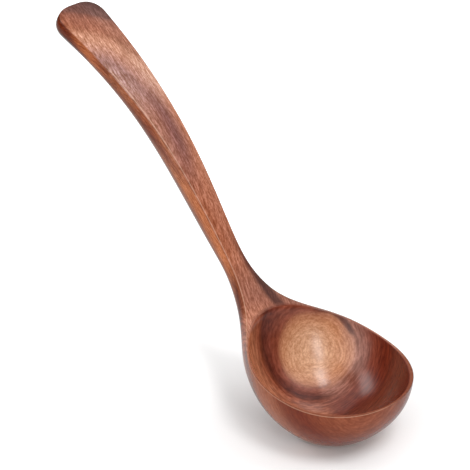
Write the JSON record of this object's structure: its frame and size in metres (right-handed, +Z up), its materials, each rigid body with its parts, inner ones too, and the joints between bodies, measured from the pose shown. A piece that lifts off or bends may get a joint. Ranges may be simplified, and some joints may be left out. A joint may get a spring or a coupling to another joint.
{
  "type": "wooden ladle",
  "caption": "Carved wooden soup ladle with a deep round bowl, a narrow neck and a swept, flat-topped handle that broadens to a rounded grip.",
  "frame": {"origin": "middle of the flat foot under the bowl", "axes": "+Z up out of the bowl, +X to the bowl's front tip with the handle rising towards -X, XZ is the plane of symmetry"},
  "size_m": [0.2627, 0.09, 0.2006],
  "materials": {
    "wood": "smooth oiled hardwood, satin"
  },
  "bodies": {
    "root": {"bowl": "wood", "handle": "wood"}
  },
  "joints": []
}
